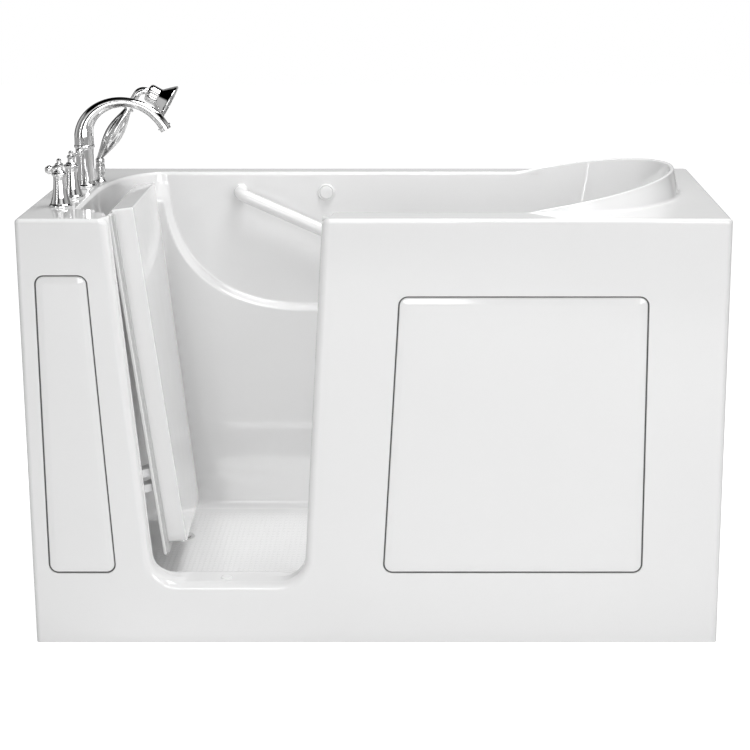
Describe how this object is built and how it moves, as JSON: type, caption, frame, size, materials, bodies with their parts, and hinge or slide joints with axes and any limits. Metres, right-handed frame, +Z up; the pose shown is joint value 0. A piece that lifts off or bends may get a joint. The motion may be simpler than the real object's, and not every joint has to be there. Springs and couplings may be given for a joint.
{
  "type": "walk-in bathtub",
  "caption": "Walk-in bathtub with an inward-swinging door, a moulded seat, a neck rest, deck taps with a hand shower and a slanted grab bar.",
  "frame": {"origin": "on the floor, in the middle of the tub's plan", "axes": "+X towards the neck-rest end, +Y towards the wall behind, +Z up"},
  "size_m": [1.524, 0.762, 1.1891],
  "materials": {
    "gelcoat": "high gloss white moulding",
    "frame_steel": "grey square tube",
    "rubber_feet": "matt black",
    "seal": "pale grey, satin",
    "stainless": "brushed",
    "chrome": "mirror polished",
    "spray_plate": "satin grey",
    "brass": "unpolished",
    "pipe_plastic": "matt dark grey"
  },
  "bodies": {
    "tub": {"tub_basin": "gelcoat", "seat_basin": "gelcoat", "back_wall": "gelcoat", "ledge_corner": "gelcoat", "tub_deck": "gelcoat", "drain_floor": "gelcoat", "front_apron": "gelcoat", "left_end_panel": "gelcoat", "right_end_panel": "gelcoat", "base_rails": "frame_steel", "cross_rails": "frame_steel", "frame_posts": "frame_steel", "deck_bearers": "frame_steel", "seat_legs": "frame_steel", "floor_pads": "rubber_feet", "levelling_feet": "rubber_feet", "foot_nuts": "frame_steel", "hinge_brackets": "gelcoat", "latch_keeper": "stainless", "threshold_cap": "gelcoat", "grab_bar": "gelcoat", "grab_bar_flanges": "gelcoat", "grab_bar_bolts": "frame_steel", "button_bezel": "gelcoat", "overflow_pipe": "pipe_plastic", "drain_flange": "chrome", "waste_pipe": "pipe_plastic", "spout_column": "chrome", "spout_arc": "chrome", "spout_outlet": "chrome", "hot_bell": "chrome", "cold_bell": "chrome", "valve_manifold": "brass", "hot_supply_pipe": "brass", "cold_supply_pipe": "brass", "deck_nuts": "frame_steel", "shower_holder": "chrome"},
    "door": {"door_leaf": "gelcoat", "door_inner_panel": "gelcoat", "door_gasket": "seal", "hinge_arms": "gelcoat", "hinge_pins": "stainless", "latch_escutcheon": "chrome"},
    "latch": {"latch_handle": "chrome", "latch_spindle": "stainless", "latch_cam": "stainless"},
    "hot_tap": {"hot_lever": "chrome", "hot_stem": "stainless"},
    "cold_tap": {"cold_lever": "chrome", "cold_stem": "stainless"},
    "hand_shower": {"shower_handle": "chrome", "shower_neck": "chrome", "shower_head": "chrome", "spray_face": "spray_plate"},
    "drain_push": {"drain_button": "gelcoat"},
    "drain_plug": {"drain_stopper": "chrome"},
    "left_access": {"left_access_panel": "gelcoat", "left_panel_studs": "frame_steel"},
    "right_access": {"right_access_panel": "gelcoat", "right_panel_studs": "frame_steel"}
  },
  "joints": [
    {"name": "door_swing", "type": "hinge", "parent": "tub", "child": "door", "pos_m": [-0.5946, -0.2655, 0.958], "axis": [-0.0708, -0.0409, 0.9967], "range_deg": [-92.5, 0]},
    {"name": "latch_turn", "type": "hinge", "parent": "door", "child": "latch", "pos_m": [-0.56912, 0.17738, 0.62813], "axis": [0.9927, 0.0419, 0.1132], "range_deg": [0, 90]},
    {"name": "hot_tap_turn", "type": "hinge", "parent": "tub", "child": "hot_tap", "pos_m": [-0.692, -0.212, 0.958], "axis": [0, 0, 1], "range_deg": [0, 90]},
    {"name": "cold_tap_turn", "type": "hinge", "parent": "tub", "child": "cold_tap", "pos_m": [-0.689, -0.084, 0.958], "axis": [0, 0, 1], "range_deg": [-90, 0]},
    {"name": "hand_shower_lift", "type": "slide", "parent": "tub", "child": "hand_shower", "axis": [0, 0, 1], "range_m": [0, 0.06]},
    {"name": "drain_button_press", "type": "slide", "parent": "tub", "child": "drain_push", "axis": [0, 1, 0], "range_m": [0, 0.005], "stiffness_N_per_m": 300},
    {"name": "drain_plug_rise", "type": "slide", "parent": "tub", "child": "drain_plug", "axis": [0, 0, 1], "range_m": [0, 0.008]},
    {"name": "left_access_pull", "type": "slide", "parent": "tub", "child": "left_access", "axis": [0, -1, 0], "range_m": [0, 0.06]},
    {"name": "right_access_pull", "type": "slide", "parent": "tub", "child": "right_access", "axis": [0, -1, 0], "range_m": [0, 0.06]}
  ],
  "couplings": [
    {"joint": "drain_plug_rise", "follows": "drain_button_press", "ratio": 1.6}
  ]
}
